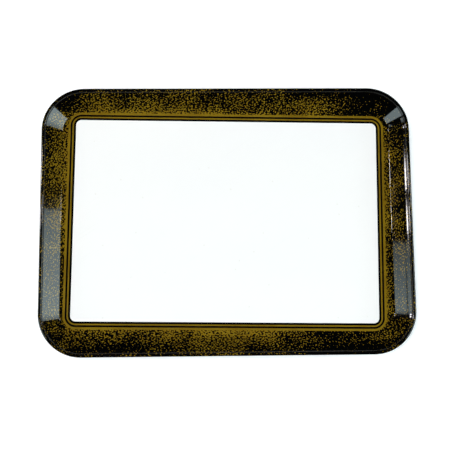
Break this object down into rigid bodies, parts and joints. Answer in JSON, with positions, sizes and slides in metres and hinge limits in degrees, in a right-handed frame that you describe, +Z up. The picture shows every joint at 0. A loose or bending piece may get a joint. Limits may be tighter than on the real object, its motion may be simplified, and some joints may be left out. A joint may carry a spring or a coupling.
{
  "type": "serving tray",
  "caption": "Rectangular tinplate serving tray with rounded corners, sloping walls, a wired rolled rim and a plain white panel in a speckled black and gold printed border.",
  "frame": {"origin": "middle of the underside, at the height of the surface the tray stands on", "axes": "+X along the tray's length, +Y along its width to the back edge, +Z up"},
  "size_m": [0.4, 0.29, 0.017],
  "materials": {
    "tinplate": "clear-lacquered tinplate, fine rolling grain, light rub marks",
    "wire": "drawn steel wire",
    "white_print": "gloss white enamel print",
    "black_print": "gloss black print",
    "gold_print": "gloss gold-brown print",
    "speckled_print": "gloss black print with gold grain that thins out toward the rim"
  },
  "bodies": {
    "root": {"tray_pan": "tinplate", "rim_wire": "wire", "white_panel": "white_print", "inner_black_line": "black_print", "gold_line": "gold_print", "outer_black_line": "black_print", "gold_band": "gold_print", "border_print": "speckled_print"}
  },
  "joints": []
}
